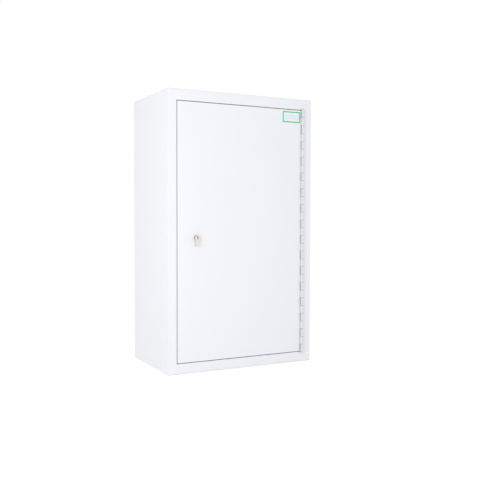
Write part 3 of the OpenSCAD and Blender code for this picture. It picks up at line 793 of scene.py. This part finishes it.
class CABINET_OT_cylinder(CabinetOperator, bpy.types.Operator):
    """Makes the profile cylinder's body, with the bridge under its cam, and its plug with the keyway"""

    bl_idname = "cabinet.cylinder"
    bl_label = "Lock cylinder"

    def execute(self, context):
        scene = context.scene
        sizes, finish = scene.cabinet_lock, scene.cabinet_finish
        make_shell(sizes, finish)
        make_plug(sizes, finish)
        return {"FINISHED"}


def make_shell(sizes, finish):
    """The cylinder's body: two sleeves and the bridge, with painted shade on its sides, which are darker
    than its faces and darkest on the round part at the top.
    """
    low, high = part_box("cylinder_body")
    axis_x = (low.x + high.x) / 2
    axis_z = high.z - sizes.round_radius
    cam_low, cam_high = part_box("cylinder_cam")
    cam_y = (cam_low.y + cam_high.y) / 2
    slot = (cam_y - sizes.cam_slot / 2, cam_y + sizes.cam_slot / 2)
    grids = [
        (sleeve(axis_x, axis_z, low.y, slot[0], sizes), True, True),
        (sleeve(axis_x, axis_z, slot[1], high.y, sizes), True, True),
        (bridge(axis_x, axis_z, slot, sizes), False, True),
    ]
    changes = {"Patch Strength": 0.03}
    nickel = plate_material("cylinder_nickel", finish.nickel, (2500, 150, 2500), **changes)
    # Painted shade: the sides are darker than the faces, and darker still up on the round part.
    neck = math.sqrt(sizes.round_radius**2 - sizes.tail_radius**2)
    over_neck = maths("SUBTRACT", place_in(nickel)[2], axis_z - neck)
    sides = mixed(step_up(over_neck, neck), finish.nickel_tail_shaded, finish.nickel_round_shaded)
    tone_between(nickel, (low.y + sizes.chamfer, high.y - sizes.chamfer), finish.nickel, sides)
    settle(build("cylinder_shell", grids), nickel, "door", "cylinder_body")


def make_plug(sizes, finish):
    """The turning plug. Inside the keyway its brass is dull: dark, and not metallic."""
    low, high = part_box("cylinder_plug")
    brass = plate_material("turned_brass", finish.brass, (2500, 120, 2500), Roughness=0.24)
    behind_lead = low.y + sizes.plug_recess + sizes.chamfer
    behind_floor = low.y + sizes.keyway_depth + sizes.chamfer
    inside = tone_between(brass, (behind_lead, behind_floor), finish.brass, finish.dull_brass)
    feed(shader_of(brass), Metallic=maths("SUBTRACT", 1.0, inside))
    plug = plug_grid(low, high, sizes)
    settle(build("turned_plug", [(plug, False, True)]), brass, "plug", "cylinder_plug")


def tone_between(material, depths, ends, middle):
    """Gives a plated piece one colour at its ends and another between two depths. Puts out 1 between
    them and 0 elsewhere."""
    y = place_in(material)[1]
    past_front = maths("GREATER_THAN", y, depths[0])
    between = maths("MULTIPLY", past_front, maths("LESS_THAN", y, depths[1]))
    wire(mixed(between, ends, middle), surface_of(material).inputs["Colour"])
    return between


# The keyway's wards: heights from its foot up, as shares of its height, and the half widths there to
# the right and left of its middle, as shares of its head's half width.
WARD_HEIGHTS = (-1.0, -0.42, -0.32, 0.05, 0.14, 0.34)
WARDS_RIGHT = (0.5, 0.5, 0.26, 0.26, 0.38, 1.0)
WARDS_LEFT = (0.5, 0.34, 0.34, 0.46, 0.46, 1.0)


def keyway_outline(sizes):
    """Keyway about the plug's axis, clockwise from its top, as (across, up) points with the turn at
    which each joins the round rim. The top is a half round; down a side the half width is read from the
    wards; the foot is straight. The turn is the direction of the point if it stood on a slot as wide as
    the head, so it always grows."""
    head, high = sizes.keyway_head, sizes.keyway_height
    cap_points, side_points = 9, 41
    cap = np.linspace(0, np.pi / 2, cap_points)
    cap_x, cap_z = head * np.sin(cap), high - head + head * np.cos(cap)
    up = np.linspace(high - head, -high, side_points)[1:]
    heights = np.array(WARD_HEIGHTS) * high
    right, left = (np.interp(up, heights, np.array(side) * head) for side in (WARDS_RIGHT, WARDS_LEFT))
    x = np.concatenate([cap_x, right, -left[::-1], -cap_x[:0:-1]])
    z = np.concatenate([cap_z, up, up[::-1], cap_z[:0:-1]])
    wide = np.concatenate([cap_x, head + 0 * up, -head + 0 * up, -cap_x[:0:-1]])
    return x, z, np.arctan2(wide, z)


def plug_grid(low, high, sizes):
    """The plug. Row by row the section runs from the keyway's floor up its wall, over the chamfered
    lead in, across the dished face to the raised rim, round the rim's chamfer and back along the
    outside to the rear face. A row is the keyway's outline, the outline moved a little towards the
    rim, or a circle at the same turns."""
    centre = (low + high) / 2
    radius = (high.x - low.x) / 2
    x, z, turn = keyway_outline(sizes)
    c, dish, back = sizes.chamfer, sizes.plug_recess, high.y - low.y
    rim = np.stack([np.sin(turn), np.cos(turn)], -1)
    keyway = np.stack([x, z], -1)
    away = rim * radius - keyway
    lead = keyway + away * (sizes.lead_in / np.linalg.norm(away, axis=1, keepdims=True))
    rows = []
    for outline, depth in [
        (keyway * 0.0, sizes.keyway_depth),
        (keyway, sizes.keyway_depth),
        (keyway, dish + sizes.lead_in),
        (lead, dish),
        (rim * (radius - sizes.plug_rim - sizes.rim_slope), dish),
        (rim * (radius - sizes.plug_rim), 0.0),
        (rim * (radius - c), 0.0),
        (rim * radius, c),
        (rim * radius, back),
        (rim * 0.0, back),
    ]:
        across, up = outline.T
        rows.append(points_of(across + centre.x, low.y + depth, up + centre.z))
    return np.stack(rows)


def outline_radius(turn, sizes):
    """Distance from the axis to the profile's edge, at an angle from straight down. It is the round's
    radius, or if that is larger the distance at which the ray leaves the tail: through its straight
    side, w over the sine, or else through its round end, d cos + the root of (w squared - d squared
    sin squared)."""
    sine, cosine = np.abs(np.sin(turn)), np.cos(turn)
    w, d = sizes.tail_radius, sizes.tail_drop
    side = w / np.maximum(sine, NEAR_ZERO)
    end = d * cosine + np.sqrt(np.maximum(w * w - (d * sine) ** 2, 0.0))
    tail = np.where(side * cosine < d, side, end)
    return np.maximum(sizes.round_radius, np.where(cosine > 0, tail, 0.0))


def profile_turns(sizes):
    """Angles from straight down, close together over the tail, where the edge is far from the axis."""
    end_points, side_points, round_points = 17, 9, 41
    corner = math.asin(sizes.tail_radius / sizes.round_radius)
    end = math.atan2(sizes.tail_radius, sizes.tail_drop)
    drops = np.linspace(sizes.tail_drop, sizes.tail_radius / math.tan(corner), side_points)
    half = np.concatenate([
        np.linspace(0, end, end_points)[:-1],
        np.arctan2(sizes.tail_radius, drops)[:-1],
        np.linspace(corner, np.pi, round_points),
    ])
    return np.concatenate([half, -half[-2:0:-1]])


def sleeve(axis_x, axis_z, y0, y1, sizes):
    """A length of the profile with a bore. Row by row the section runs along the bore, over the front
    face, back along the outside and over the rear face: each row is the bore's radius plus a share of
    the way to the outline, less an inset. Halfway round an outer chamfer the edge is in by the ease."""
    turn = profile_turns(sizes)
    edge = outline_radius(turn, sizes)
    c, bore = sizes.chamfer, sizes.bore_radius
    ease = 0.3 * c
    rows = []
    for way, inset, y in [
        (0, 0.0, y1 - c / 2),
        (0, 0.0, y0 + c / 2),
        (0, -c / 2, y0),
        (1, c, y0),
        (1, ease, y0 + ease),
        (1, 0.0, y0 + c),
        (1, 0.0, y1 - c),
        (1, ease, y1 - ease),
        (1, c, y1),
        (0, -c / 2, y1),
    ]:
        radius = bore + way * (edge - bore) - inset
        rows.append(points_of(axis_x + radius * np.sin(turn), y, axis_z - radius * np.cos(turn)))
    return np.stack(rows)


def bridge(axis_x, axis_z, slot, sizes):
    """The bar that joins the two sleeves under the cam. Its outline is the tail's half round, from one
    side round the bottom to the other, closed across at the bridge's top; each end face shrinks it to
    the middle of the round."""
    w = sizes.tail_radius
    middle_z = axis_z - sizes.tail_drop
    top = sizes.tail_drop - sizes.bridge_top
    round_points = 33
    t = np.linspace(-np.pi / 2, np.pi / 2, round_points)
    x = np.concatenate([[-w], w * np.sin(t), [w]])
    z = np.concatenate([[top], -w * np.cos(t), [top]])
    rows = [(0, slot[0]), (1, slot[0]), (1, slot[1]), (0, slot[1])]
    return np.stack([points_of(axis_x + x * scale, y, middle_z + z * scale) for scale, y in rows])


class CABINET_OT_screws(CabinetOperator, bpy.types.Operator):
    """Makes the screws with cross recessed heads"""

    bl_idname = "cabinet.screws"
    bl_label = "Screws"

    def execute(self, context):
        sizes = context.scene.cabinet_fasteners
        zinc = bpy.data.materials["bright_zinc"]
        for node, outward, *millimetres, pan in SCREWS:
            head, head_height, shaft = (size * MM for size in millimetres)
            axis = [abs(way) for way in outward].index(1)
            grids = []
            for box in loose_solids(node):
                tip = box.mean(0)
                tip[axis] = box[1 if outward[axis] > 0 else 0][axis]
                tall = box[1][axis] - box[0][axis]
                for grid in screw_grids(head, head_height, shaft, tall, pan, sizes):
                    grids.append((placed(grid, tip, outward), False, True))
            settle(build(node + "_cross", grids), zinc, "door", node)
        return {"FINISHED"}


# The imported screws, the way their heads face, the head's radius and height and the shank's radius in
# millimetres, and whether the head is a pan head and not a countersunk one.
SCREWS = (
    ("lock_cover_screws", (0, 1, 0), 3.0, 1.4, 1.5, False),
    ("forend_screws", (-1, 0, 0), 3.7, 1.45, 2.0, False),
    ("lock_bracket_screw", (1, 0, 0), 3.8, 2.4, 2.0, True),
    ("cylinder_screw", (-1, 0, 0), 4.35, 1.9, 2.5, False),
    ("rod_guide_screws", (0, 1, 0), 3.3, 2.0, 1.75, True),
)
# Rings of points on a screw's face, as shares of its radius: close together over the recess.
RINGS = (0.0, *np.linspace(0.05, 0.72, 14), 0.86, 0.96, 1.0)


def screw_grids(head, head_height, shaft, tall, pan, sizes):
    """Head and shank, with the tip of the head at height 0. The face at radius r and angle t drops by
    the recess depth times the larger of two bars' masks; a bar's mask falls from 1 to 0 over its wall,
    which stands outside its half width, and over its end, which is the last of its length. A pan head's
    face also falls off as a parabola towards the rim."""
    drop = sizes.crown if pan else 0.0
    radius = np.array(RINGS)[:, None]
    turn = np.linspace(0, 2 * np.pi, sizes.segments, endpoint=False)
    x, y = radius * np.cos(turn), radius * np.sin(turn)

    def bar(across, along):
        wall = sizes.recess_wall * sizes.recess_width
        wide = np.clip((sizes.recess_width + wall - np.abs(across)) / wall, 0, 1)
        return wide * np.clip((sizes.recess_length - np.abs(along)) / sizes.recess_end, 0, 1)

    recess = sizes.recess_depth * np.maximum(bar(x, y), bar(y, x))
    face = points_of(x, y, -recess - drop * radius**2) * head
    side = [
        (head, -drop * head),
        (head, -head_height if pan else -sizes.rim_edge),
        (shaft, -head_height),
        (shaft, -tall + sizes.tip_length * shaft),
        (sizes.tip_radius * shaft, -tall),
        (0, -tall),
    ]
    return [face, turned(side, sizes.segments)]


class CABINET_OT_studio(CabinetOperator, bpy.types.Operator):
    """Makes the camera, the pale floor, the lamps and the world"""

    bl_idname = "cabinet.studio"
    bl_label = "Studio"

    def execute(self, context):
        scene = context.scene
        studio = scene.cabinet_studio
        scene.view_settings.view_transform = "Standard"
        make_camera(scene, studio)
        make_floor(studio)
        make_lamps(scene, studio)
        make_world(scene, studio)
        return {"FINISHED"}


def make_camera(scene, studio):
    """The camera looks along a heading and tilt, with its frame turned by the roll."""
    camera = bpy.data.objects.new("camera", bpy.data.cameras.new("camera"))
    camera.data.lens = studio.lens
    camera.data.sensor_width = 36.0
    camera.data.clip_start, camera.data.clip_end = 0.01, 100.0
    heading = Matrix.Rotation(-studio.yaw, 4, "Z")
    tilt = Matrix.Rotation(math.pi / 2 + studio.pitch, 4, "X")
    turn = Matrix.Rotation(studio.roll, 4, "Z")
    camera.matrix_world = Matrix.Translation(studio.camera_place) @ heading @ tilt @ turn
    scene.collection.objects.link(camera)
    scene.camera = camera


def make_floor(studio):
    """A flat pale floor; part of what the camera sees of it is plain white."""
    size = studio.floor_size
    steps = np.linspace(-size, size, 3)
    floor = build("floor", [(points_of(steps[::-1, None], steps, 0.0), False, False)])
    material, tree = new_material("studio_floor")
    feed(shader_of(material), Base_Color=(0.93, 0.93, 0.93), Roughness=0.9, Specular_IOR_Level=0.0)
    glow = add_node(tree, "Emission", Strength=studio.floor_glow)
    seen = maths("MULTIPLY", seen_directly(tree), 1.0 - studio.floor_shade)
    blend_shaders(seen, shader_of(material), glow, "Material Output")
    floor.data.materials.append(material)


def blend_shaders(factor, first, second, output):
    """Mixes two shaders into the output node of that name."""
    tree = factor.id_data
    mix = add_node(tree, "MixShader")
    for slot, source in zip(mix.inputs, (factor, first.outputs[0], second.outputs[0])):
        wire(source, slot)
    wire(mix.outputs[0], tree.nodes[output].inputs[0])


def seen_directly(tree):
    """1 for a ray from the camera, a mirror or glass, and 0 for a ray that lights a surface."""
    path = add_node(tree, "LightPath").outputs
    shown = maths("MAXIMUM", path["Is Camera Ray"], path["Is Glossy Ray"])
    return maths("MAXIMUM", shown, path["Is Transmission Ray"])


def make_lamps(scene, studio):
    """A small lamp before the lock side, and a broad one at each side. The small one is kept out of
    reflections, where it would glare along the casing's side."""
    for name, watts, width, place, aim in [
        ("key_lamp", studio.key, 0.3, (-0.92, -0.98, 0.62), (-0.25, -0.15, 0.52)),
        ("side_lamp", studio.side, 1.4, (-2.1, -1.6, 1.0), (-0.1, 0.0, 0.45)),
        ("edge_lamp", studio.edge, 1.2, (2.6, -0.9, 0.9), (0.1, 0.0, 0.45)),
    ]:
        lamp = bpy.data.objects.new(name, bpy.data.lights.new(name, "AREA"))
        lamp.data.energy = watts
        lamp.data.size = width
        lamp.visible_glossy = name != "key_lamp"
        lamp.location = place
        lamp.rotation_euler = (Vector(aim) - Vector(place)).to_track_quat("-Z", "Y").to_euler()
        scene.collection.objects.link(lamp)


def make_world(scene, studio):
    """Even light from all round, and plain white where it is seen."""
    world = bpy.data.worlds.new("studio_world")
    world.use_nodes = True
    scene.world = world
    tree = world.node_tree
    light = tree.nodes["Background"]
    feed(light, Color=(0.985, 0.997, 1.03), Strength=studio.sky)
    white = add_node(tree, "Background", Color=(1, 1, 1), Strength=1.0)
    blend_shaders(seen_directly(tree), light, white, "World Output")


OPERATORS = (
    CABINET_OT_coat,
    CABINET_OT_plating,
    CABINET_OT_plastics,
    CABINET_OT_label,
    CABINET_OT_cylinder,
    CABINET_OT_screws,
    CABINET_OT_studio,
)
SETTINGS = {
    "cabinet_finish": CabinetFinish,
    "cabinet_label": CabinetLabel,
    "cabinet_lock": CabinetLock,
    "cabinet_fasteners": CabinetFasteners,
    "cabinet_studio": CabinetStudio,
}


class CABINET_PT_looks(bpy.types.Panel):
    """Sidebar panel with the steps and their settings"""

    bl_idname = "CABINET_PT_looks"
    bl_label = "Cabinet looks"
    bl_space_type = "VIEW_3D"
    bl_region_type = "UI"
    bl_category = "Cabinet"

    def draw(self, context):
        for operator in OPERATORS:
            self.layout.operator(operator.bl_idname)
        for name in SETTINGS:
            group_box = self.layout.box()
            settings = getattr(context.scene, name)
            for prop in settings.bl_rna.properties:
                if prop.identifier not in ("rna_type", "name"):
                    group_box.prop(settings, prop.identifier)


def register():
    """Registers the settings, the operators and the panel."""
    for settings in SETTINGS.values():
        bpy.utils.register_class(settings)
    for name, settings in SETTINGS.items():
        setattr(bpy.types.Scene, name, PointerProperty(type=settings))
    for operator in OPERATORS:
        bpy.utils.register_class(operator)
    bpy.utils.register_class(CABINET_PT_looks)


def unregister():
    """Takes them all out again."""
    bpy.utils.unregister_class(CABINET_PT_looks)
    for operator in reversed(OPERATORS):
        bpy.utils.unregister_class(operator)
    for name, settings in SETTINGS.items():
        delattr(bpy.types.Scene, name)
        bpy.utils.unregister_class(settings)


def main():
    """Registers the add-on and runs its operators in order."""
    register()
    for operator in OPERATORS:
        module, name = operator.bl_idname.split(".")
        getattr(getattr(bpy.ops, module), name)()


if __name__ == "__main__":
    main()
